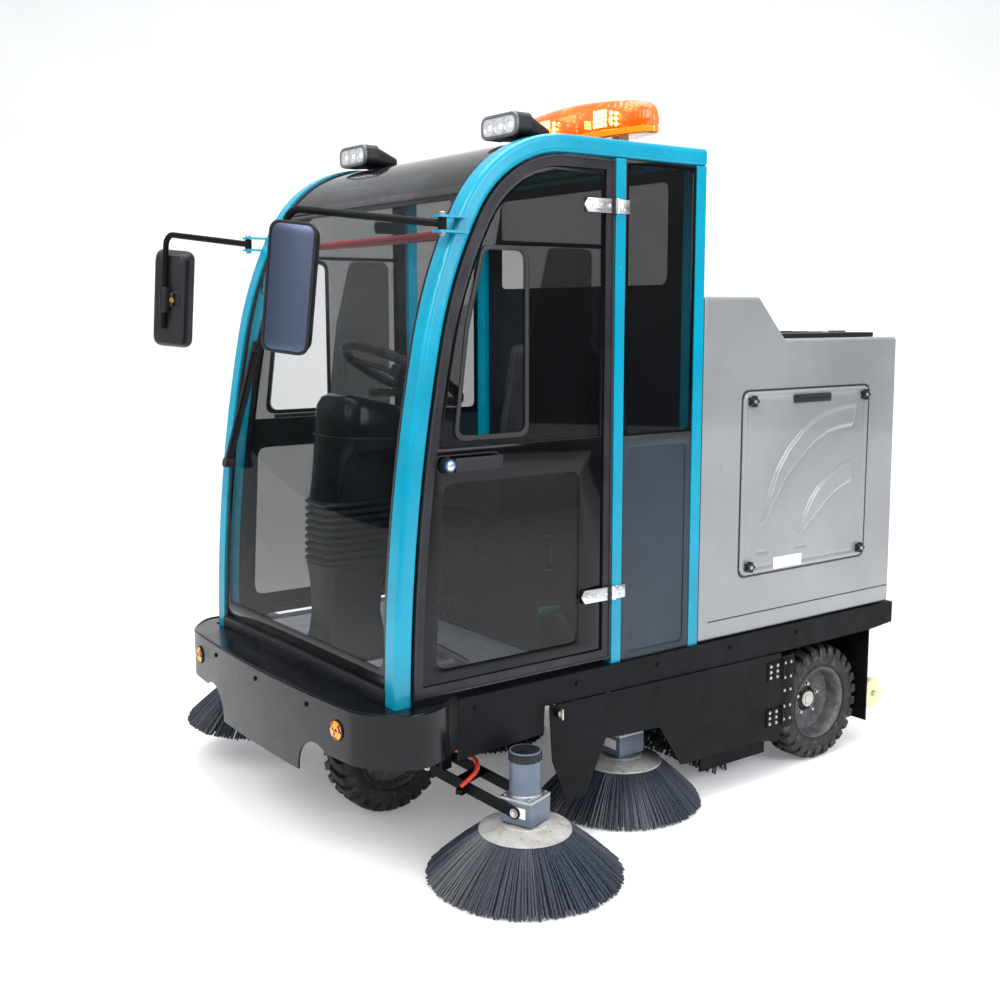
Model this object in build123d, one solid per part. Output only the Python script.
from build123d import *
import os
from math import asin, atan2, cos, degrees, hypot, radians, sin

# Ride-on floor sweeper with a closed cab, three wheels, four side brooms and a main roller broom.
# Millimetres. +Z is up, the machine drives towards -Y and its left side is +X.
# The origin is on the floor, in the middle of the front tyre's contact patch.

# ---- driving dimensions ------------------------------------------------------------------
CAB_HALF = 566.0          # centre plane to the outside of the cab
CHASSIS_HALF = 577.0      # centre plane to the outside of the chassis side plates
DECK_TOP = 523.0          # top of the chassis deck
DECK_THICK = 18.0
PLATE = 6.0               # chassis side and rear plates
WHEELBASE = 1436.0        # front wheel axis to rear wheel axis
WHEEL_R = 205.0           # tyre radius before it is loaded
AXLE_Z = 203.0            # loaded height of every wheel centre
RUN_GAP = 0.05            # radial running clearance of pins and shafts
GAP = 1.0                 # gap between pieces that move past each other

# cab side frame: the inner edge of the bent tube, as tangent arcs from the deck to the flat roof
RAIL_START_Y = -256.0
RAIL_ARCS = ((5101.0, 0.65, 11.42), (1168.5, 11.42, 29.3), (328.5, 29.3, 90.0))
TUBE_FACE = 52.0          # width of the bent tube seen from the side
TUBE_DEEP = 55.0          # depth of the bent tube across the machine
MID_POST = (439.0, 475.0)
REAR_POST = (758.0, 797.0)
POST_DEEP = 36.0
GLASS = 5.0
GLASS_INSET = 38.0        # windscreen inner face, outward of the rail's inner edge
SCREEN_BOTTOM = 565.0
SCREEN_TOP_ANGLE = 36.0   # slope at which the windscreen meets the roof panel

WAIST_Z = 1190.0          # top of the closed panels behind the doors
PANEL = 3.0

DOOR_GAP = 4.0
DOOR_FRAME = 30.0
DOOR_DEEP = 18.0
DOOR_BOTTOM = 540.0
DOOR_REAR = 435.0
HINGE_AXIS = (574.0, 437.0)
HINGE_ZS = (739.0, 1850.0)
SLIDER_LAP = 12.0
SLIDER_TRAVEL = 232.0
SLIDER_HOLE = ((-102.0, 1232.0), (120.0, 1232.0), (120.0, 1718.0), (-12.0, 1718.0), (-66.0, 1510.0))

HOOD_REAR = 1767.0
HOOD_TOP = 1470.0
HOOD_STEP = 1602.0
HOOD_BOTTOM = 525.0
HOOD_WALL = 4.0
HOOD_EDGE = 10.0          # radius where the hood's sides meet its top, front and back
HATCH_Y = (980.0, 1607.0)
HATCH_Z = (714.0, 1306.0)
HATCH_THICK = 6.0
HATCH_LAP = 22.0
LID_Y = (1215.0, 1735.0)
LID_HALF = 490.0
LID_THICK = 14.0
LID_LAP = 20.0

BUMPER_BOTTOM = 385.0
APRON_BOTTOM = 300.0
APRON_HALF = 250.0
BUMPER_WALL = 6.0

TYRE_W = 110.0
RIM_R = 125.0
AXLE_R = 17.5
WHEEL_X = 490.0           # centre plane to the middle of a rear tyre

BROOM_R = 282.0
MID_BROOM_R = 262.0
BROOM_DISC_R = 130.0
BROOM_DISC_Z = 134.0      # underside of the broom's disc at its rim
GEARBOX = 100.0
GEARBOX_Z = (166.0, 230.0)
MOTOR_R = 44.0
MOTOR_TOP = 365.0
SWIVEL = (332.0, -50.0)   # vertical axis that a front arm swings about
SWIVEL_PIN = 30.0         # swivel axis to the arm's cross pin
ARM_PIVOT_Z = 270.0
ARM_DROP = 70.0           # the arm's fall from its cross pin to the gearbox when it is down
ARM_REACH = 329.0         # swivel axis to the broom's axis, measured along the floor
ARM_HEADING = 19.3        # direction of the left arm, from straight out towards the back
ARM_SWUNG = 26.2          # how far the right arm is swung forward from the same place
ARM_PLATE = 5.0
PIN_R = 8.0
MID_BROOM = (402.0, 630.0)
ROLLER_Y = 1060.0
ROLLER_R = 145.0
ROLLER_HALF = 440.0

CABLE_R = 7.0
CABLE_CLEAR = 0.5         # gap between the cable and the blocks that carry it
CABLE_POINTS = (
    (60.0, -16.0, 44.0), (98.0, -9.0, 50.0), (138.0, -6.0, 46.0), (176.0, -14.0, 34.0),
    (196.0, -38.0, 20.0), (188.0, -64.0, 2.0), (166.0, -76.0, -22.0),
)

MIRROR_PIN = (572.0, -154.0)
MIRROR_ARM_Z = 1778.0
MIRROR_ELBOW = {1: (202.0, -400.0, 1830.0), -1: (-1010.0, -260.0, 1830.0)}
MIRROR_TUBE_R = 10.0
MIRROR_LEG = 330.0        # elbow to the free end of the tube
MIRROR_DROP = {1: 205.0, -1: 228.0}   # elbow to the middle of the head, along the tube
MIRROR_SIZE = (140.0, 52.0, 345.0)
MIRROR_STAND = 18.0       # tube's centre to the face of the housing
MIRROR_TURN = {1: 215.0, -1: 50.0}
MIRROR_SHIFT = {1: -58.0, -1: 14.0}

SEAT_FRONT = 317.0
SEAT_HALF = 380.0
SEAT_BOX_TOP = 925.0
WHEEL_TILT = 28.0
STEER_R = 190.0
STEER_AT = (0.0, 75.0, 1368.0)


# ---- small helpers -----------------------------------------------------------------------
def block(xs, ys, zs):
    """A box between three pairs of limits."""
    size = [b - a for a, b in (xs, ys, zs)]
    middle = [(a + b) / 2 for a, b in (xs, ys, zs)]
    return Pos(*middle) * Box(*size)


def rod(start, end, radius):
    """A round bar from one point to another."""
    run = Vector(*end) - Vector(*start)
    return Solid.make_cylinder(radius, run.length, Plane(origin=start, z_dir=run))


def outline(points, radius=0.0):
    """A flat face through the points, with its corners rounded."""
    face = make_face(Polyline(*points, close=True))
    return fillet(face.vertices(), radius) if radius else face


def along_x(face, start, end):
    """Extrude an outline drawn in (y, z) across the machine."""
    return extrude(Plane.YZ.offset(start) * face, end - start)


def along_y(face, start, end):
    """Extrude an outline drawn in (x, z) along the machine."""
    return extrude(Plane.XZ.offset(-start) * face, start - end)


def along_z(face, start, end):
    """Extrude an outline drawn in (x, y) upwards."""
    return extrude(Plane.XY.offset(start) * face, end - start)


def turned(profile):
    """Turn an (r, z) outline about the Z axis."""
    return revolve(Plane.XZ * profile, Axis.Z, 360)


def both_sides(shape):
    """The shape and its mirror image across the centre plane."""
    return [shape, mirror(shape, Plane.YZ)]


def side(shape, sign):
    """The left-hand shape itself, or its mirror image for the right-hand side."""
    return shape if sign > 0 else mirror(shape, Plane.YZ)


def group(*shapes):
    """Separate solids that share one node."""
    solids = []
    for shape in shapes:
        solids += list(shape.solids())
    return Compound(children=solids)


# ---- the bent side tube's line -----------------------------------------------------------
def rail_centres():
    """The centre of each arc of the rail, worked up from the deck."""
    y, z = RAIL_START_Y, DECK_TOP
    centres = []
    for radius, low, high in RAIL_ARCS:
        cy = y + radius * cos(radians(low))
        cz = z - radius * sin(radians(low))
        centres.append((cy, cz))
        y = cy - radius * cos(radians(high))
        z = cz + radius * sin(radians(high))
    return centres


CENTRES = rail_centres()


def rail_point(angle, offset):
    """The point of the rail's line at a slope angle, moved outward by offset."""
    for (radius, low, high), (cy, cz) in zip(RAIL_ARCS, CENTRES):
        if angle <= high:
            break
    reach = radius + offset
    return cy - reach * cos(radians(angle)), cz + reach * sin(radians(angle))


def rail_angle(height, offset):
    """The slope angle at which the rail's line reaches a height."""
    for (radius, low, high), (cy, cz) in zip(RAIL_ARCS, CENTRES):
        angle = degrees(asin(min(1.0, (height - cz) / (radius + offset))))
        if angle <= high:
            return angle
    return 90.0


def rail_edges(low, high, offset):
    """Arcs along the rail's line between two slope angles."""
    edges = []
    for radius, first, last in RAIL_ARCS:
        a, b = max(low, first), min(high, last)
        if b > a + 1e-6:
            spots = [rail_point(t, offset) for t in (a, (a + b) / 2, b)]
            edges.append(ThreePointArc(*spots))
    return edges


def rail_band(inner, outer, low, high, tail_y=None):
    """A band between two offsets of the rail's line, with a straight tail along the roof."""
    edges = rail_edges(low, high, inner) + rail_edges(low, high, outer)
    inner_end = rail_point(high, inner)
    outer_end = rail_point(high, outer)
    if tail_y is not None:
        inner_tail, outer_tail = (tail_y, inner_end[1]), (tail_y, outer_end[1])
        edges += [Line(inner_end, inner_tail), Line(outer_end, outer_tail)]
        inner_end, outer_end = inner_tail, outer_tail
    edges += [Line(inner_end, outer_end), Line(rail_point(low, inner), rail_point(low, outer))]
    return make_face(edges)


ROOF_Z = rail_point(90.0, 0.0)[1]


# ---- chassis and bumper ------------------------------------------------------------------
NOSE_Y = -118.0           # where the bumper's wings meet the side plates
SIDE_PLATE = (
    (NOSE_Y, DECK_TOP), (NOSE_Y, 352.0), (175.0, 366.0), (180.0, 446.0), (1200.0, 436.0),
    (1653.0, 438.0), (1779.0, 448.0), (1779.0, DECK_TOP),
)
NOSE_HALF = CHASSIS_HALF - PLATE - GAP
CAB_NOSE_Y = RAIL_START_Y - TUBE_FACE - 4.0
REAR_PLATE_Y = (1647.0, 1653.0)
REAR_PLATE_BOTTOM = 105.0
BIN_HALF = 385.0


def chassis():
    """The welded frame: deck, side plates, rails, rear plates and stub axle hangers."""
    deck_z = (DECK_TOP - DECK_THICK, DECK_TOP)
    deck = block((-CHASSIS_HALF, CHASSIS_HALF), (NOSE_Y, 1779.0), deck_z)
    parts = [deck, block((-NOSE_HALF, NOSE_HALF), (CAB_NOSE_Y, NOSE_Y + 1.0), deck_z)]
    parts += both_sides(along_x(outline(SIDE_PLATE), CHASSIS_HALF - PLATE, CHASSIS_HALF))
    rail_z = (445.0, DECK_TOP - DECK_THICK + 1.0)
    parts += both_sides(block((300.0, 360.0), (CAB_NOSE_Y, 1640.0), rail_z))
    plate_x = (BIN_HALF + 8.0, CHASSIS_HALF)
    parts += both_sides(block(plate_x, REAR_PLATE_Y, (REAR_PLATE_BOTTOM, 450.0)))
    hanger_x = (BIN_HALF + 8.0, BIN_HALF + 16.0)
    parts += both_sides(block(hanger_x, (1330.0, 1650.0), (120.0, 510.0)))
    parts.append(block((-CHASSIS_HALF, CHASSIS_HALF), (1770.0, 1779.0), (448.0, DECK_TOP)))
    cheek_x = (ROLLER_HALF + 42.0, ROLLER_HALF + 42.0 + PLATE)
    cheek_y = (ROLLER_Y - ROLLER_R - 10.0, ROLLER_Y + ROLLER_R + 10.0)
    parts += both_sides(block(cheek_x, cheek_y, (55.0, DECK_TOP - DECK_THICK + 1.0)))
    x, y, z = ROLLER_AT
    ear_y = (REAR_PLATE_Y[1] - 1.0, y + 18.0)
    parts += both_sides(block((x - 28.0, x - 20.0), ear_y, (z - 22.0, z + 22.0)))
    parts += both_sides(rod((x - 21.0, y, z), (x + 20.0, y, z), PIN_R))
    return parts[0].fuse(*parts[1:])


SKIRT_OUTLINE = (
    (193.0, 444.0), (205.0, 278.0), (259.0, 146.0), (330.0, 146.0), (407.0, 305.0), (628.0, 292.0),
    (722.0, 150.0), (1061.0, 150.0), (1186.0, 132.0), (1180.0, 434.0),
)


SKIRT_HINGE = (585.0, 1187.0)
SKIRT_BARREL_R = 6.0


def skirt_door():
    """The left skirt that swings out to reach the brooms, with its hinge leaves and wing knob."""
    sheet = along_x(outline(SKIRT_OUTLINE, 6.0), CHASSIS_HALF + GAP, CHASSIS_HALF + GAP + 4.0)
    face = CHASSIS_HALF + GAP + 4.0
    hinges = []
    x, y = SKIRT_HINGE
    for z in (188.0, 346.0):
        leaf = block((face, face + 3.0), (1130.0, 1182.0), (z, z + 62.0))
        hinges += [leaf, rod((x, y, z), (x, y, z + 62.0), SKIRT_BARREL_R)]
    knob = rod((face, 222.0, 420.0), (face + 14.0, 222.0, 420.0), 11.0)
    return sheet.fuse(*hinges, knob)


BUMPER_FRONT = -440.0
BUMPER_WIDEST = (645.0, -275.0)
BUMPER_CORNER = (505.0, -414.0)
BUMPER_FLARE = (604.0, -166.0)


def bumper_face(inset):
    """The bumper's plan outline: bowed front, wrapped corners and wings that taper to the sides."""
    (fx, fy), (wx, wy), (cx, cy) = BUMPER_FLARE, BUMPER_WIDEST, BUMPER_CORNER
    wing_end = (CHASSIS_HALF, NOSE_Y - 2.0)
    edges = [ThreePointArc((-cx, cy), (0.0, BUMPER_FRONT), (cx, cy))]
    edges.append(Line((-wing_end[0], wing_end[1]), wing_end))
    for s in (1, -1):
        edges.append(ThreePointArc((s * cx, cy), (s * 604.0, -352.0), (s * wx, wy)))
        edges.append(ThreePointArc((s * wx, wy), (s * 633.0, -216.0), (s * fx, fy)))
        edges.append(Line((s * fx, fy), (s * wing_end[0], wing_end[1])))
    face = make_face(edges)
    return offset(face, -inset, kind=Kind.INTERSECTION) if inset else face


def front_bumper():
    """A shell with a flat shelf on top, wrapped corners and a deep apron in the middle."""
    shelf = DECK_TOP + 7.0
    shell = along_z(bumper_face(0.0), APRON_BOTTOM, shelf)
    shell -= along_z(bumper_face(BUMPER_WALL), APRON_BOTTOM - 1.0, DECK_TOP + 1.0)
    shell -= block((-NOSE_HALF - GAP, NOSE_HALF + GAP), (CAB_NOSE_Y - GAP, -100.0), (0.0, 600.0))
    arch = 90.0
    corner = APRON_HALF + arch
    low = APRON_BOTTOM - 50.0
    cut = outline(((corner, low), (800.0, low), (800.0, BUMPER_BOTTOM), (corner, BUMPER_BOTTOM)))
    cut += Pos(corner, low + 60.0) * Circle(arch)
    cut += outline(((APRON_HALF, low), (corner, low), (corner, low + 60.0), (APRON_HALF, low + 60.0)))
    for piece in both_sides(along_y(cut, -500.0, 0.0)):
        shell -= piece
    for piece in both_sides(rod((451.0, -460.0, 466.0), (451.0, -380.0, 466.0), 26.0)):
        shell -= piece
    return shell


def indicator_lights():
    """Two round amber lamps set into the bumper."""
    lamp = rod((451.0, -426.0, 466.0), (451.0, -400.0, 466.0), 25.7)
    lamp = lamp.fuse(rod((451.0, -438.0, 466.0), (451.0, -424.5, 466.0), 28.0))
    return group(*both_sides(lamp))


# ---- cab ---------------------------------------------------------------------------------
def cab_pillars():
    """The two bent side tubes, each with its pair of mirror ears."""
    band = rail_band(0.0, TUBE_FACE, RAIL_ARCS[0][1], 90.0, REAR_POST[1])
    tube = along_x(band, CAB_HALF - TUBE_DEEP, CAB_HALF)
    long_edges = tube.edges().filter_by(GeomType.CIRCLE).filter_by(lambda e: e.length > 200.0)
    outer = [e for e in long_edges if abs(e.center().X - CAB_HALF) < 0.5]
    tube = fillet(outer, 14.0)
    x, y = MIRROR_PIN
    for z in (MIRROR_ARM_Z - 22.0, MIRROR_ARM_Z + 16.0):
        tube += block((CAB_HALF - 20.0, x + 12.0), (y - 14.0, y + 75.0), (z, z + 6.0))
    return group(*both_sides(tube))


def cab_posts():
    """Straight tubes: door posts, rear posts, roof cross tube, sill and the red cross bar."""
    inner = CAB_HALF - TUBE_DEEP
    mid = block((CAB_HALF - POST_DEEP, CAB_HALF), MID_POST, (DECK_TOP, ROOF_Z))
    rear = block((inner, CAB_HALF), REAR_POST, (DECK_TOP, ROOF_Z))
    cross = block((-inner, inner), REAR_POST, (ROOF_Z, ROOF_Z + TUBE_FACE))
    y = RAIL_START_Y - GLASS_INSET - GLASS
    sill = block((-inner, inner), (y - 6.0, y + 24.0), (DECK_TOP, SCREEN_BOTTOM - 1.0))
    bar_y = rail_point(rail_angle(1757.0, 0.0), 0.0)[0]
    bar = rod((-inner, bar_y - 12.0, 1757.0), (inner, bar_y - 12.0, 1757.0), 12.0)
    return group(*both_sides(mid), *both_sides(rear), cross, sill, bar)


def windscreen():
    """One bent sheet from the sill up to the roof panel."""
    low = rail_angle(SCREEN_BOTTOM, GLASS_INSET)
    half = CAB_HALF - TUBE_DEEP - GAP
    band = rail_band(GLASS_INSET, GLASS_INSET + GLASS, low, SCREEN_TOP_ANGLE)
    return along_x(band, -half, half)


def roof_panel():
    """The smoked sheet that carries on from the windscreen over the driver."""
    half = CAB_HALF - TUBE_DEEP - GAP
    start, tail = SCREEN_TOP_ANGLE + 0.3, REAR_POST[0] - GAP
    band = rail_band(GLASS_INSET, GLASS_INSET + GLASS, start, 90.0, tail)
    return along_x(band, -half, half)


REAR_WINDOW = ((-430.0, 430.0), (1640.0, 1950.0))


def cab_panels():
    """Closed panels: one behind each door up to the waist, and the wall behind the seat."""
    between = (MID_POST[1], REAR_POST[0])
    quarter = block((CAB_HALF - 8.0, CAB_HALF - 8.0 + PANEL), between, (DECK_TOP, WAIST_Z))
    inner = CAB_HALF - TUBE_DEEP
    wall = block((-inner, inner), (775.0, 775.0 + PANEL), (DECK_TOP, ROOF_Z))
    wall -= block(REAR_WINDOW[0], (760.0, 790.0), REAR_WINDOW[1])
    return group(*both_sides(quarter), wall)


def cab_windows():
    """Fixed side panes above the waist and the pane behind the driver."""
    between = (MID_POST[1], REAR_POST[0])
    pane = block((CAB_HALF - 9.0, CAB_HALF - 9.0 + GLASS), between, (WAIST_Z, ROOF_Z))
    rear = block(REAR_WINDOW[0], (774.0, 774.0 + GLASS), REAR_WINDOW[1])
    return group(*both_sides(pane), rear)


# ---- doors -------------------------------------------------------------------------------
def door_face(inset):
    """The door opening's outline, moved in by inset."""
    low = rail_angle(DOOR_BOTTOM + inset - DOOR_GAP, -inset)
    start, end = rail_point(low, -inset), rail_point(90.0, -inset)
    rear = DOOR_REAR - (inset - DOOR_GAP)
    edges = rail_edges(low, 90.0, -inset)
    top, bottom = (rear, end[1]), (rear, start[1])
    edges += [Line(end, top), Line(top, bottom), Line(bottom, start)]
    return make_face(edges)


DOOR_IN = CAB_HALF - 3.0 - DOOR_DEEP
DOOR_OUT = CAB_HALF - 3.0


def door():
    """The left door's frame with its two strap hinges."""
    face = door_face(DOOR_GAP) - door_face(DOOR_GAP + DOOR_FRAME)
    frame = along_x(face, DOOR_IN, DOOR_OUT)
    x, y = HINGE_AXIS
    for z in HINGE_ZS:
        frame += block((DOOR_OUT - 1.0, DOOR_OUT + 5.0), (325.0, y - 8.0), (z - 20.0, z + 20.0))
        frame += block((DOOR_OUT - 1.0, x), (y - 16.0, y - 6.0), (z - 20.0, z + 20.0))
        frame += rod((x, y, z - 20.0), (x, y, z + 20.0), 7.0)
    return frame


def door_glass():
    """The fixed pane that fills the door, with the opening of its sliding window."""
    pane = door_face(DOOR_GAP + DOOR_FRAME) - outline(SLIDER_HOLE, 26.0)
    return along_x(pane, DOOR_IN + 6.0, DOOR_IN + 6.0 + GLASS)


def slider():
    """The sliding pane, pushed back to leave the window open."""
    pane = offset(outline(SLIDER_HOLE), SLIDER_LAP, kind=Kind.INTERSECTION)
    pane = fillet(pane.vertices(), 26.0)
    sheet = along_x(pane, DOOR_IN + 1.0, DOOR_IN + 6.0 - 0.5)
    grip = block((DOOR_IN - 8.0, DOOR_IN + 1.5), (-80.0, -50.0), (1320.0, 1420.0))
    return Pos(0.0, SLIDER_TRAVEL, 0.0) * (sheet + grip)


HANDLE_PIN = (DOOR_OUT + 14.0, -147.0)


def handle():
    """The paddle handle, pivoted at its front end."""
    section = ((580.0, 1142.0), (592.0, 1142.0), (592.0, 1178.0), (580.0, 1178.0))
    grip = along_y(outline(section, 4.0), -130.0, 22.0)
    x, y = HANDLE_PIN
    boss = rod((x - 11.0, y, 1160.0), (x + 13.0, y, 1160.0), 19.0)
    pin = rod((x, y, 1138.0), (x, y, 1182.0), 5.0)
    return grip.fuse(boss, pin)


# ---- hood --------------------------------------------------------------------------------
HOOD_PROFILE = (
    (798.0, HOOD_BOTTOM), (798.0, HOOD_STEP), (1048.0, HOOD_STEP), (1173.0, HOOD_TOP),
    (1756.0, HOOD_TOP), (HOOD_REAR, HOOD_BOTTOM),
)


def rounded_sides(solid, radius):
    """A solid with the edges of its two flat sides rounded."""
    flat = [e for e in solid.edges() if e.bounding_box().size.X < 0.001]
    return fillet([e for e in flat if e.center().Z > HOOD_BOTTOM + HOOD_WALL + 1.0], radius)


def hood():
    """The moulded rear cover, open below, with the hatch opening and the lid opening."""
    face = outline(HOOD_PROFILE, 12.0)
    inner_half = CAB_HALF - HOOD_WALL
    shell = rounded_sides(along_x(face, -CAB_HALF, CAB_HALF), HOOD_EDGE)
    inside = along_x(offset(face, -HOOD_WALL), -inner_half, inner_half)
    shell -= rounded_sides(inside, HOOD_EDGE - HOOD_WALL)
    shell -= block((-540.0, 540.0), (820.0, 1745.0), (HOOD_BOTTOM - 10.0, HOOD_BOTTOM + 20.0))
    hatch_y = (HATCH_Y[0] + HATCH_LAP, HATCH_Y[1] - HATCH_LAP)
    hatch_z = (HATCH_Z[0] + HATCH_LAP, HATCH_Z[1] - HATCH_LAP)
    shell -= block((CAB_HALF - 20.0, CAB_HALF + 5.0), hatch_y, hatch_z)
    lid_x = (-LID_HALF + LID_LAP, LID_HALF - LID_LAP)
    lid_y = (LID_Y[0] + LID_LAP, LID_Y[1] - LID_LAP)
    shell -= block(lid_x, lid_y, (HOOD_TOP - 70.0, HOOD_TOP + 30.0))
    return shell


LID_BARREL_R = 6.0


def hood_lid():
    """The flat lid over the filter, hinged at its front edge."""
    plate = block((-LID_HALF, LID_HALF), LID_Y, (HOOD_TOP + 0.5, HOOD_TOP + 0.5 + LID_THICK))
    plate = fillet(plate.edges().filter_by(Axis.Z), 18.0)
    y, z = LID_Y[0], HOOD_TOP + 0.5 + LID_BARREL_R
    return plate.fuse(*[rod((x, y, z), (x + 70.0, y, z), LID_BARREL_R) for x in (-250.0, 180.0)])


def side_hatch():
    """The hatch's proud plate, its pressed arcs and its recessed pull."""
    (y0, y1), (z0, z1) = HATCH_Y, HATCH_Z
    corners = ((y0, z0), (y1, z0), (y1, z1), (y0, z1))
    face = outline(corners, 26.0)
    plate = along_x(face, CAB_HALF + 0.5, CAB_HALF + 0.5 + HATCH_THICK)
    lip = offset(face, -HATCH_LAP - 1.0) - offset(face, -HATCH_LAP - 5.0)
    rim = along_x(lip, CAB_HALF - 12.0, CAB_HALF + 1.0)
    face_x = CAB_HALF + HATCH_THICK
    pull = block((face_x, face_x + 10.0), (1215.0, 1395.0), (1262.0, 1288.0))
    return plate.fuse(rim, pull)


def hatch_knobs():
    """Four star knobs that clamp the hatch."""
    spots = ((1014.0, 1276.0), (1573.0, 1276.0), (1573.0, 744.0), (1014.0, 744.0))
    base = CAB_HALF + 0.5 + HATCH_THICK
    star = Circle(13.0)
    for k in range(5):
        star += Pos(13.0 * cos(radians(72 * k)), 13.0 * sin(radians(72 * k))) * Circle(5.5)
    knobs = [along_x(Pos(y, z) * star, base, base + 16.0) for y, z in spots]
    return group(*knobs)


def battery_pack():
    """Four traction batteries side by side under the front of the hood."""
    cells = []
    for k in range(4):
        x = -520.0 + 264.0 * k
        cells.append(block((x, x + 248.0), (830.0, 1010.0), (DECK_TOP, DECK_TOP + 230.0)))
        for dx in (60.0, 188.0):
            post = rod((x + dx, 880.0, DECK_TOP + 229.0), (x + dx, 880.0, DECK_TOP + 246.0), 8.0)
            cells[-1] = cells[-1].fuse(post)
    return group(*cells)


BIN_Y = (1238.0, 1652.0)
BIN_Z = (108.0, 430.0)
BIN_WALL = 4.0
BIN_LIP = 60.0            # height of the bin's front edge, over which the dirt is thrown


def dust_bin():
    """The open-topped dust bin that pulls out backwards."""
    front, back = BIN_Y
    bottom, top = BIN_Z
    half, w = BIN_HALF - 3.0, BIN_WALL
    inside_x = (w - half, half - w)
    body = block((-half, half), BIN_Y, BIN_Z)
    body -= block(inside_x, (front + w, back - w), (bottom + w, top + 20.0))
    body -= block(inside_x, (front - 5.0, front + 2 * w), (bottom + BIN_LIP, top + 20.0))
    grip = block((-90.0, 90.0), (back, back + 26.0), (330.0, 345.0))
    return body + grip


# ---- inside the cab ----------------------------------------------------------------------
def seat_box():
    """The steel box under the seat, with its toggle latch."""
    box = block((-SEAT_HALF, SEAT_HALF), (SEAT_FRONT, 770.0), (DECK_TOP, SEAT_BOX_TOP))
    latch = block((SEAT_HALF - 1.0, SEAT_HALF + 9.0), (338.0, 358.0), (790.0, 890.0))
    return box.fuse(latch)


def seat_cushion():
    """The seat's cushion as a plain block with rounded corners."""
    pad = block((-245.0, 245.0), (250.0, 690.0), (SEAT_BOX_TOP, SEAT_BOX_TOP + 110.0))
    return fillet(pad.edges().filter_by(Axis.Z), 50.0)


def seat_back():
    """The seat's back cushion, leaning slightly."""
    pad = Box(460.0, 90.0, 430.0)
    pad = fillet(pad.edges().filter_by(Axis.Y), 60.0)
    return Pos(0.0, 640.0, 1262.0) * Rot(-10.0, 0.0, 0.0) * pad


def steering_column():
    """The steering pedestal: foot, tapered column, rubber bellows and instrument pod."""
    foot = ((-255.0, DECK_TOP), (0.0, DECK_TOP), (-45.0, 640.0), (-225.0, 640.0))
    column = ((-225.0, 641.0), (-45.0, 641.0), (0.0, 815.0), (-240.0, 815.0))
    bellows = ((-240.0, 816.0), (30.0, 816.0), (35.0, 1010.0), (-235.0, 1010.0))
    pod = (
        (-215.0, 1011.0), (40.0, 1011.0), (66.0, 1165.0), (66.0, 1275.0), (-60.0, 1325.0),
        (-180.0, 1310.0), (-200.0, 1180.0),
    )
    pieces = [
        along_x(outline(foot, 8.0), -120.0, 120.0),
        along_x(outline(column, 8.0), -80.0, 80.0),
        along_x(outline(bellows, 8.0), -100.0, 100.0),
        along_x(outline(pod, 12.0), -120.0, 120.0),
    ]
    return group(*pieces)


def steering_wheel():
    """Rim, three spokes and hub on a short shaft."""
    rim = Torus(STEER_R, 14.0)
    hub = Cylinder(38.0, 30.0)
    wheel = rim + hub
    for k in range(3):
        arm = Rot(0.0, 0.0, 90.0 + 120.0 * k) * (Pos(STEER_R / 2, 0.0, 0.0) * Box(STEER_R, 26.0, 10.0))
        wheel += arm
    wheel += Pos(0.0, 0.0, -24.0) * Cylinder(16.0, 30.0)
    return Pos(*STEER_AT) * Rot(-WHEEL_TILT, 0.0, 0.0) * wheel


PEDAL_X = {"accelerator": 330.0, "brake": 210.0}
PEDAL_PIVOT = (70.0, 535.0)


def pedal(x):
    """A floor pedal: a treadle plate pivoted at its heel."""
    y, z = PEDAL_PIVOT
    pin = rod((x - 42.0, y, z), (x + 42.0, y, z), 6.0)
    tread = Pos(x, y - 60.0, z + 42.0) * Rot(-32.0, 0.0, 0.0) * Box(80.0, 130.0, 8.0)
    rib = ((y - 6.0, z), (y + 6.0, z), (y - 50.0, z + 40.0), (y - 70.0, z + 40.0))
    web = along_x(outline(rib), x - 6.0, x + 6.0)
    return tread.fuse(pin, web)


LEVER_PIVOT = (420.0, 420.0, 560.0)


def lift_lever():
    """The broom lift lever beside the seat box."""
    x, y, z = LEVER_PIVOT
    bar = rod((x, y, z), (x, 350.0, 672.0), 8.0)
    grip = rod((x, 362.0, 672.0), (x, 285.0, 676.0), 13.0)
    boss = rod((x - 15.0, y, z), (x + 15.0, y, z), 20.0)
    return bar.fuse(grip, boss)


# ---- lights ------------------------------------------------------------------------------
LAMP_X = 405.0
LAMP_Z = ROOF_Z + GLASS_INSET + GLASS + 33.0


def work_lights():
    """Two flat lamps on the roof's front corners: a tapered body and a round-ended front."""
    face = ((-84.0, -33.0), (84.0, -33.0), (84.0, 33.0), (-84.0, 33.0))
    front = along_y(Pos(LAMP_X, LAMP_Z + 4.0) * outline(face, 24.0), 155.0, 200.0)
    neck = outline([(x * 0.97, z * 0.9) for x, z in face], 20.0)
    tail = outline([(x * 0.55, z * 0.45) for x, z in face], 12.0)
    big = Plane.XZ.offset(-200.0) * (Pos(LAMP_X, LAMP_Z + 2.0) * neck)
    small = Plane.XZ.offset(-290.0) * (Pos(LAMP_X, LAMP_Z - 10.0) * tail)
    shell = loft([big, small])
    foot = block((LAMP_X - 20.0, LAMP_X + 20.0), (215.0, 275.0), (LAMP_Z - 32.0, LAMP_Z - 10.0))
    return group(*both_sides(front.fuse(shell, foot)))


BEACON = (100.0, 700.0)   # middle of the bar, seen from above
BEACON_HALF = 350.0
BEACON_DEEP = 130.0
BEACON_LIFT = 62.0        # roof to the underside of the bar's base
BEACON_TALL = 122.0
BEACON_FOOT = 190.0       # middle of the bar to the middle of each foot


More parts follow.
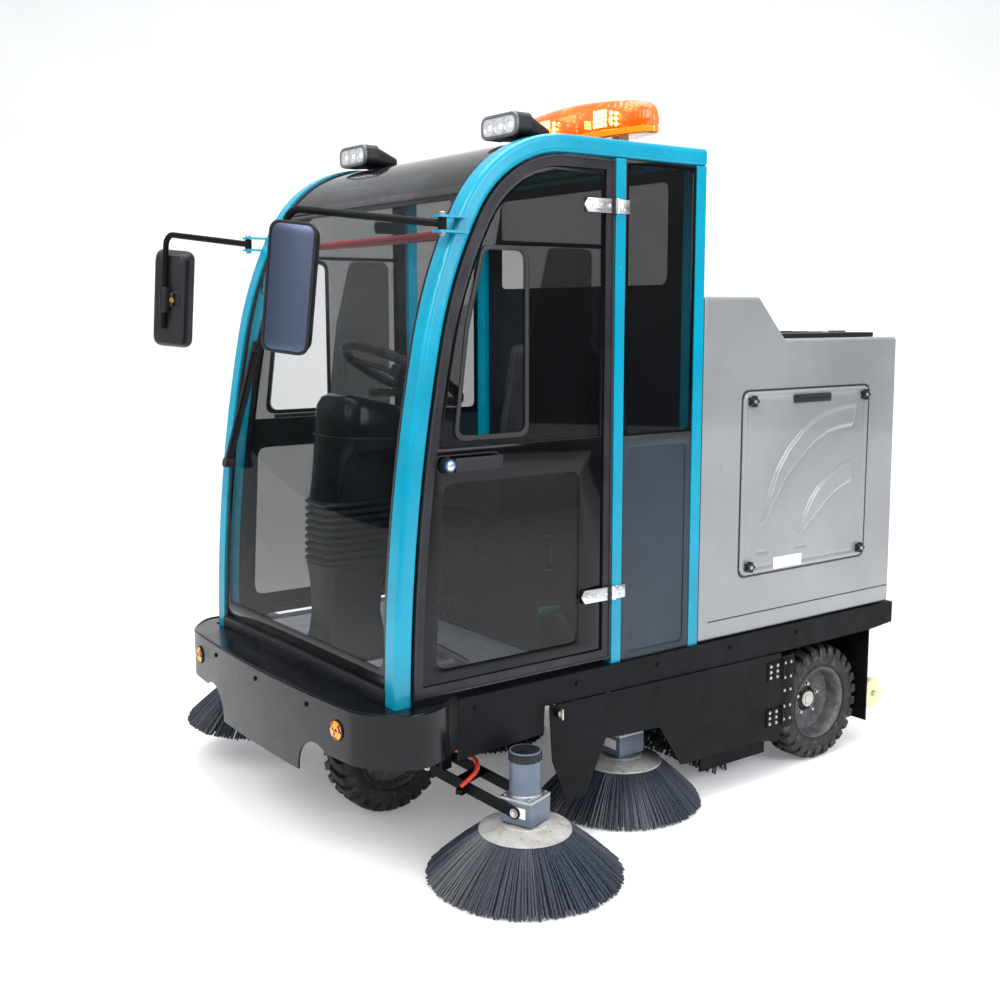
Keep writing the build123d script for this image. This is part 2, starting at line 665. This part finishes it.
def beacon():
    """The warning light bar: base on two posts, and the amber cover on it."""
    half, deep = BEACON_HALF, BEACON_DEEP / 2
    corners = ((-half, -deep), (half, -deep), (half, deep), (-half, deep))
    plan = Pos(*BEACON) * outline(corners, deep - 5.0)
    roof = ROOF_Z + GLASS_INSET + GLASS
    under = roof + BEACON_LIFT
    base = along_z(plan, under, under + 22.0)
    x, y = BEACON
    feet = []
    for middle in (x - BEACON_FOOT, x + BEACON_FOOT):
        feet.append(block((middle - 30.0, middle + 30.0), (y - 32.0, y + 32.0), (roof, roof + 8.0)))
        feet.append(block((middle - 18.0, middle + 18.0), (y - 20.0, y + 20.0), (roof, under + 1.0)))
    low = Plane.XY.offset(under + 22.5) * plan
    top = Plane.XY.offset(under + BEACON_TALL) * offset(plan, -20.0)
    return group(base.fuse(*feet), loft([low, top]))


# ---- wheels ------------------------------------------------------------------------------
def ring(xs, radii, corner=0.0):
    """A ring about the X axis between two x limits and two radii."""
    (a, b), (low, high) = xs, radii
    return revolve(outline(((a, low), (b, low), (b, high), (a, high)), corner), Axis.X, 360)


def tyre_ring():
    """A tyre about the X axis, centred on the origin."""
    return ring((-TYRE_W / 2, TYRE_W / 2), (RIM_R, WHEEL_R), 16.0)


def rim_dish():
    """A dished wheel about the X axis: barrel, web set back from the outside, and hub."""
    half = TYRE_W / 2 - 6.0
    bore = AXLE_R + RUN_GAP
    barrel = ring((-half, half), (RIM_R - 12.0, RIM_R - 0.5))
    web = ring((-22.0, -12.0), (bore, RIM_R - 10.0))
    hub = ring((-44.0, 0.0), (bore, 45.0))
    return barrel.fuse(web, hub)


def rear_axle():
    """Two stub axles, each with its flange on the chassis hanger."""
    start = BIN_HALF + 16.0
    stub = rod((start, WHEELBASE, AXLE_Z), (WHEEL_X + 4.0, WHEELBASE, AXLE_Z), AXLE_R)
    flange = rod((start, WHEELBASE, AXLE_Z), (start + 10.0, WHEELBASE, AXLE_Z), 55.0)
    return group(*both_sides(stub.fuse(flange)))


def rear_rim():
    """The left rear rim on its stub axle."""
    return Pos(WHEEL_X, WHEELBASE, AXLE_Z) * rim_dish()


def rear_tyre():
    """The left rear tyre, flattened where it stands."""
    tyre = Pos(WHEEL_X, WHEELBASE, AXLE_Z) * tyre_ring()
    return tyre - block((0.0, 900.0), (900.0, 1900.0), (-20.0, 0.0))


def front_fork():
    """The steered fork: turntable, crown, two blades and the axle."""
    table = rod((0.0, 0.0, 468.0), (0.0, 0.0, 504.0), 90.0)
    crown = block((-88.0, 88.0), (-45.0, 45.0), (430.0, 469.0))
    blades = both_sides(block((76.0, 88.0), (-30.0, 30.0), (AXLE_Z - 30.0, 431.0)))
    axle = rod((-80.0, 0.0, AXLE_Z), (80.0, 0.0, AXLE_Z), AXLE_R)
    return table.fuse(crown, *blades, axle)


def front_wheel():
    """The front tyre and its rim, flattened where it stands."""
    tyre = Pos(0.0, 0.0, AXLE_Z) * tyre_ring()
    tyre -= block((-200.0, 200.0), (-200.0, 200.0), (-20.0, 0.0))
    half = TYRE_W / 2 - 6.0
    bore = AXLE_R + RUN_GAP
    web = ring((-10.0, 10.0), (bore, RIM_R - 0.5))
    hub = ring((-half, half), (bore, 40.0))
    return group(tyre, Pos(0.0, 0.0, AXLE_Z) * web.fuse(hub))


ROLLER_AT = (526.0, 1735.0, 180.0)


def corner_rollers():
    """Two pale guard rollers on a long pin at the rear corners."""
    x, y, z = ROLLER_AT
    wheel = rod((x - 18.0, y, z), (x + 18.0, y, z), 53.0)
    wheel -= rod((x - 30.0, y, z), (x + 30.0, y, z), PIN_R + RUN_GAP)
    return group(*both_sides(wheel))


# ---- brooms ------------------------------------------------------------------------------
def broom(radius):
    """A side broom about Z, standing on the floor: disc with hub, and the cone of bristles."""
    z = BROOM_DISC_Z
    r = BROOM_DISC_R
    disc = (
        (0.0, z), (r, z), (r, z + 7.0), (r * 0.55, z + 21.0), (34.0, z + 21.0), (34.0, z + 29.0),
        (0.0, z + 29.0),
    )
    cone = (
        (r - 40.0, z - 1.0), (r + 4.0, z - 1.0), (radius, 8.0), (radius - 8.0, 0.0),
        (radius - 66.0, 0.0),
    )
    return group(turned(outline(disc)), turned(outline(cone)))


def broom_place(sign, lift, swung):
    """Where a front broom's middle is, and how high it stands off the floor."""
    heading = radians(ARM_HEADING - swung)
    x = SWIVEL[0] + ARM_REACH * cos(heading)
    y = SWIVEL[1] + ARM_REACH * sin(heading)
    return sign * x, y, lift


PLACES = {1: broom_place(1, 0.0, 0.0), -1: broom_place(-1, 2 * ARM_DROP, ARM_SWUNG)}
PIN_Z = (GEARBOX_Z[0] + GEARBOX_Z[1]) / 2 + 2.0


def arm_frame(sign):
    """A plane on the swivel axis, its X axis pointing along the floor to the broom."""
    x, y = PLACES[sign][:2]
    run = Vector(x - sign * SWIVEL[0], y - SWIVEL[1], 0.0)
    return Plane(origin=(sign * SWIVEL[0], SWIVEL[1], ARM_PIVOT_Z), x_dir=run, z_dir=(0, 0, 1))


def arm_slope(sign):
    """The arm's slope in degrees, up from its cross pin to the gearbox."""
    lift = PLACES[sign][2]
    return degrees(atan2(PIN_Z + lift - ARM_PIVOT_Z, ARM_REACH - SWIVEL_PIN))


PLATE_INNER = GEARBOX / 2 + GAP
PLATE_OUTER = PLATE_INNER + ARM_PLATE


def broom_bracket(sign):
    """The swivel under the chassis that carries a front arm on a cross pin."""
    barrel = Pos(0.0, 0.0, 88.0) * Cylinder(24.0, 92.0)
    knuckle = block((-23.0, SWIVEL_PIN + 13.0), (-35.0, 35.0), (-23.0, 23.0))
    pin = Pos(SWIVEL_PIN, 0.0, 0.0) * Rot(90.0, 0.0, 0.0) * Cylinder(PIN_R, 2 * PLATE_OUTER + 6.0)
    neck = Pos(0.0, 0.0, 36.0) * Box(48.0, 48.0, 40.0)
    return arm_frame(sign) * (knuckle + pin + neck + barrel)


def front_arm(sign):
    """Two flat plates that carry the gearbox, with a cross tie near the pivot."""
    slope = arm_slope(sign)
    length = hypot(ARM_REACH - SWIVEL_PIN, PIN_Z + PLACES[sign][2] - ARM_PIVOT_Z)
    bar = Pos(length / 2, 0.0) * SlotCenterToCenter(length, 34.0)
    bar -= Circle(PIN_R + RUN_GAP)
    bar -= Pos(length, 0.0) * Circle(PIN_R + RUN_GAP)
    flat = Plane.XZ * bar
    near = extrude(Pos(0.0, -PLATE_INNER, 0.0) * flat, ARM_PLATE)
    far = extrude(Pos(0.0, PLATE_OUTER, 0.0) * flat, ARM_PLATE)
    tie = Pos(110.0, 0.0, 0.0) * Box(40.0, 2 * PLATE_INNER + 2.0, 6.0)
    arm = Pos(SWIVEL_PIN, 0.0, 0.0) * Rot(0.0, -slope, 0.0) * near.fuse(far, tie)
    if sign > 0:
        (x, y, z), end = CABLE_POINTS[0], CABLE_POINTS[-1]
        saddle_top = z - CABLE_R - CABLE_CLEAR
        fitting_top = end[2] - CABLE_R
        saddle_x = (x + 12.0, x + 24.0)
        arm += block(saddle_x, (-PLATE_OUTER, y + CABLE_R), (-6.0, saddle_top))
        fitting_y = (end[1] - 12.0, -PLATE_INNER)
        arm += block((end[0] - 12.0, end[0] + 10.0), fitting_y, (fitting_top - 16.0, fitting_top))
    return arm_frame(sign) * arm


def head_shape():
    """Gearbox, motor and side studs about the broom's axis, at the lowered height."""
    low, high = GEARBOX_Z
    case = Pos(0.0, 0.0, (low + high) / 2) * Box(GEARBOX, GEARBOX, high - low)
    can = Pos(0.0, 0.0, (high + MOTOR_TOP) / 2) * Cylinder(MOTOR_R, MOTOR_TOP - high)
    studs = Pos(0.0, 0.0, PIN_Z) * Rot(90.0, 0.0, 0.0) * Cylinder(PIN_R, 2 * PLATE_OUTER + 6.0)
    return case + can + studs


def front_motor(sign):
    """A front broom's gear motor, standing upright at the end of its arm."""
    frame = arm_frame(sign)
    lift = PLACES[sign][2]
    return frame * Pos(ARM_REACH, 0.0, lift - ARM_PIVOT_Z) * head_shape()


def front_broom(sign):
    """A front side broom under its motor."""
    return Pos(*PLACES[sign]) * broom(BROOM_R)


def mid_broom_motors():
    """The gear motors of the two middle brooms, hung from the chassis."""
    low, high = GEARBOX_Z
    x, y = MID_BROOM
    case = block((x - 50.0, x + 50.0), (y - 50.0, y + 50.0), (low, high))
    can = rod((x, y, high - 1.0), (x, y, MOTOR_TOP), MOTOR_R)
    hanger = block((x - 40.0, x + 46.0), (y + 49.0, y + 56.0), (low, DECK_TOP - DECK_THICK))
    return group(*both_sides(case.fuse(can, hanger)))


def mid_broom(sign):
    """A middle side broom."""
    return Pos(sign * MID_BROOM[0], MID_BROOM[1], 0.0) * broom(MID_BROOM_R)


def main_broom():
    """The roller broom: a bristle cylinder on a steel core, its shaft ends showing."""
    half, shaft = ROLLER_HALF, ROLLER_HALF + 40.0
    core = rod((-shaft, ROLLER_Y, ROLLER_R), (shaft, ROLLER_Y, ROLLER_R), 14.0)
    brush = rod((-half, ROLLER_Y, ROLLER_R), (half, ROLLER_Y, ROLLER_R), ROLLER_R)
    return brush.fuse(core)


# ---- mirrors and wiper -------------------------------------------------------------------
def mirror_lines(sign):
    """The elbow, the direction from the pin to the elbow, and the leg square to it."""
    pin = Vector(sign * MIRROR_PIN[0], MIRROR_PIN[1], MIRROR_ARM_Z)
    elbow = Vector(*MIRROR_ELBOW[sign])
    out = (elbow - pin).normalized()
    leg = (Vector(0.0, 0.0, -1.0) + out * out.Z).normalized()
    return elbow, out, leg


def mirror_arm(sign):
    """The bent tube from the pillar's pin out to the elbow and down behind the mirror."""
    elbow, out, leg = mirror_lines(sign)
    pin = Vector(sign * MIRROR_PIN[0], MIRROR_PIN[1], MIRROR_ARM_Z)
    post = rod(pin - Vector(0.0, 0.0, 15.0), pin + Vector(0.0, 0.0, 15.0), 11.0)
    start = pin + out * 5.0
    path = FilletPolyline(start, elbow, elbow + leg * MIRROR_LEG, radius=40.0)
    tube = sweep(Plane(origin=start, z_dir=out) * Circle(MIRROR_TUBE_R), path=path)
    return post.fuse(tube)


def mirror_head(sign):
    """The mirror's housing with the clamp that grips the tube."""
    w, d, h = MIRROR_SIZE
    shell = fillet(Box(w, d, h).edges().filter_by(Axis.Y), 34.0)
    shell = Pos(MIRROR_SHIFT[sign], d / 2 + MIRROR_STAND, 0.0) * shell
    clamp = Box(36.0, 44.0, 36.0) - Cylinder(MIRROR_TUBE_R + RUN_GAP, 60.0)
    elbow, out, leg = mirror_lines(sign)
    turn = radians(MIRROR_TURN[sign])
    across = Vector(cos(turn), sin(turn), 0.0)
    seat = Plane(origin=elbow + leg * MIRROR_DROP[sign], x_dir=across, z_dir=leg * -1.0)
    return seat * shell.fuse(clamp)


WIPER_Z = (1000.0, 1700.0)
WIPER_PIVOT = (-470.0, 1070.0)
WIPER_STAND = 40.0


def wiper_plane():
    """A plane parallel to the windscreen's chord, outside the glass, at the wiper's pivot."""
    face = GLASS_INSET + GLASS
    low, high = (rail_point(rail_angle(z, face), face) for z in WIPER_Z)
    up = Vector(0.0, high[0] - low[0], high[1] - low[1]).normalized()
    out = Vector(0.0, -up.Z, up.Y)
    x, z = WIPER_PIVOT
    y = low[0] + (z - low[1]) * up.Y / up.Z
    origin = Vector(x, y, z) + out * WIPER_STAND
    return Plane(origin=origin, x_dir=(1, 0, 0), z_dir=out)


def wiper():
    """Pivot cap, arm and straight blade, parked along the right-hand pillar."""
    cap = Pos(0.0, 0.0, -6.0) * Cylinder(16.0, 34.0)
    arm = rod((0.0, 0.0, 6.0), (75.0, 395.0, 6.0), 5.0)
    blade = Pos(60.0, 300.0, -8.0) * Rot(0.0, 0.0, -13.0) * Box(12.0, 620.0, 18.0)
    joint = Pos(73.0, 375.0, 0.0) * Box(18.0, 30.0, 16.0)
    return wiper_plane() * cap.fuse(arm, blade, joint)


def arm_cable():
    """The corrugated sleeve of the motor's cable, clipped along the left arm."""
    spots = [Vector(*p) for p in CABLE_POINTS]
    radii = []
    for a, b, c in zip(spots, spots[1:], spots[2:]):
        half = radians((b - a).get_angle(c - b)) / 2
        radii.append(0.45 * min((b - a).length, (c - b).length) / (sin(half) / cos(half)))
    print("cable arc radii", [round(r, 1) for r in radii])
    path = FilletPolyline(*spots, radius=radii)
    tube = sweep(Plane(origin=spots[0], z_dir=spots[1] - spots[0]) * Circle(CABLE_R), path=path)
    return arm_frame(1) * tube


# ---- write every node --------------------------------------------------------------------
def nodes():
    """Every node's name and shape."""
    made = {
        "chassis": chassis(), "skirt_door": skirt_door(), "front_bumper": front_bumper(),
        "indicator_lights": indicator_lights(), "cab_pillars": cab_pillars(), "cab_posts": cab_posts(),
        "windscreen": windscreen(), "roof_panel": roof_panel(), "cab_panels": cab_panels(),
        "cab_windows": cab_windows(), "hood": hood(), "hood_lid": hood_lid(),
        "side_hatch": side_hatch(), "hatch_knobs": hatch_knobs(),
        "battery_pack": battery_pack(), "dust_bin": dust_bin(),
        "seat_box": seat_box(), "seat_cushion": seat_cushion(), "seat_back": seat_back(),
        "steering_column": steering_column(), "steering_wheel": steering_wheel(),
        "accelerator_pedal": pedal(PEDAL_X["accelerator"]), "brake_pedal": pedal(PEDAL_X["brake"]),
        "lift_lever": lift_lever(), "work_lights": work_lights(), "beacon": beacon(),
        "rear_axle": rear_axle(), "front_fork": front_fork(), "front_wheel": front_wheel(),
        "corner_rollers": corner_rollers(), "mid_broom_motors": mid_broom_motors(),
        "main_broom": main_broom(), "wiper": wiper(), "arm_cable": arm_cable(),
    }
    for sign, name in ((1, "left"), (-1, "right")):
        made["rear_rim_" + name] = side(rear_rim(), sign)
        made["rear_tyre_" + name] = side(rear_tyre(), sign)
        made["door_" + name] = side(door(), sign)
        made["door_glass_" + name] = side(door_glass(), sign)
        made["slider_" + name] = side(slider(), sign)
        made["handle_" + name] = side(handle(), sign)
        made["mid_broom_" + name] = mid_broom(sign)
        made["broom_bracket_" + name] = broom_bracket(sign)
        made["front_arm_" + name] = front_arm(sign)
        made["front_motor_" + name] = front_motor(sign)
        made["front_broom_" + name] = front_broom(sign)
        made["mirror_arm_" + name] = mirror_arm(sign)
        made["mirror_head_" + name] = mirror_head(sign)
    return made


os.makedirs("parts", exist_ok=True)
for node, shape in nodes().items():
    export_step(shape, f"parts/{node}.step")
    print(node, round(shape.volume / 1000.0), "cm3")
